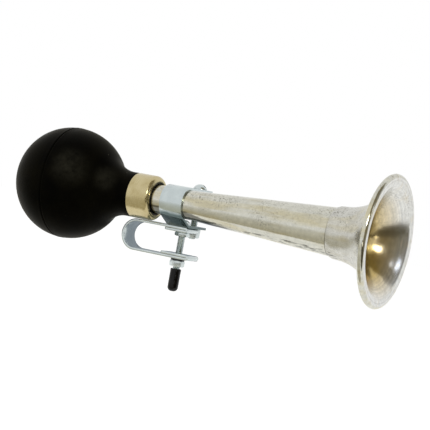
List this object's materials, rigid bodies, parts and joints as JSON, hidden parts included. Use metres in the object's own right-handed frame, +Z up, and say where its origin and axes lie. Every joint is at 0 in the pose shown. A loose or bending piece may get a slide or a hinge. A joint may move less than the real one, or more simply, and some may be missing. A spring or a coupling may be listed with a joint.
{
  "type": "bulb horn",
  "caption": "Squeeze-bulb horn with a rubber bulb, brass collar, reed, nickel-plated cone and flared bell, held by a neck strap and a bolted handlebar clip.",
  "frame": {"origin": "centre of the handlebar in the closed end of the clip, halfway along the clip's width", "axes": "+X along the horn's axis towards the bell, +Y along the handlebar, +Z up from the clip towards the horn"},
  "size_m": [0.2134, 0.0664, 0.0795],
  "materials": {
    "nickel": "nickel-plated sheet, polished, aged to a warm tone with fine pits",
    "brass": "pressed pale brass, lightly polished",
    "rubber": "moulded black rubber, dull with a dusty bloom",
    "zinc": "zinc-plated steel, bluish",
    "steel": "plain spring steel",
    "vinyl": "dipped black vinyl, glossy"
  },
  "bodies": {
    "clip": {"bar_clip": "zinc", "clip_bolt": "zinc", "lock_nut": "zinc", "spring_washer": "steel", "clip_nut": "zinc", "end_cap": "vinyl"},
    "bracket": {"neck_strap": "zinc", "strap_screw": "zinc", "strap_nut": "zinc"},
    "horn": {"horn_tube": "nickel", "bell": "nickel", "rim_wire": "steel", "collar": "brass", "reed_plug": "brass", "shallot": "brass", "reed_wedge": "brass"},
    "reed": {"reed_tongue": "brass"},
    "bulb": {"bulb": "rubber"}
  },
  "joints": [
    {"name": "clip_swivel", "type": "hinge", "parent": "clip", "child": "bracket", "pos_m": [0.0245, 0, 0.009], "axis": [0, 0, 1], "range_deg": [-20, 20]},
    {"name": "horn_turn", "type": "hinge", "parent": "bracket", "child": "horn", "pos_m": [0.0245, -0.0105, 0.0205], "axis": [1, 0, 0], "continuous": true},
    {"name": "bulb_squeeze", "type": "slide", "parent": "horn", "child": "bulb", "axis": [1, 0, 0], "range_m": [0, 0.02], "stiffness_N_per_m": 1000, "deforming": ["bulb"]},
    {"name": "reed_beat", "type": "hinge", "parent": "horn", "child": "reed", "pos_m": [-0.014, -0.0105, 0.0232], "axis": [0, -1, 0], "range_deg": [-3, 3], "stiffness_Nm_per_rad": 0.01, "deforming": ["reed_tongue"]}
  ]
}
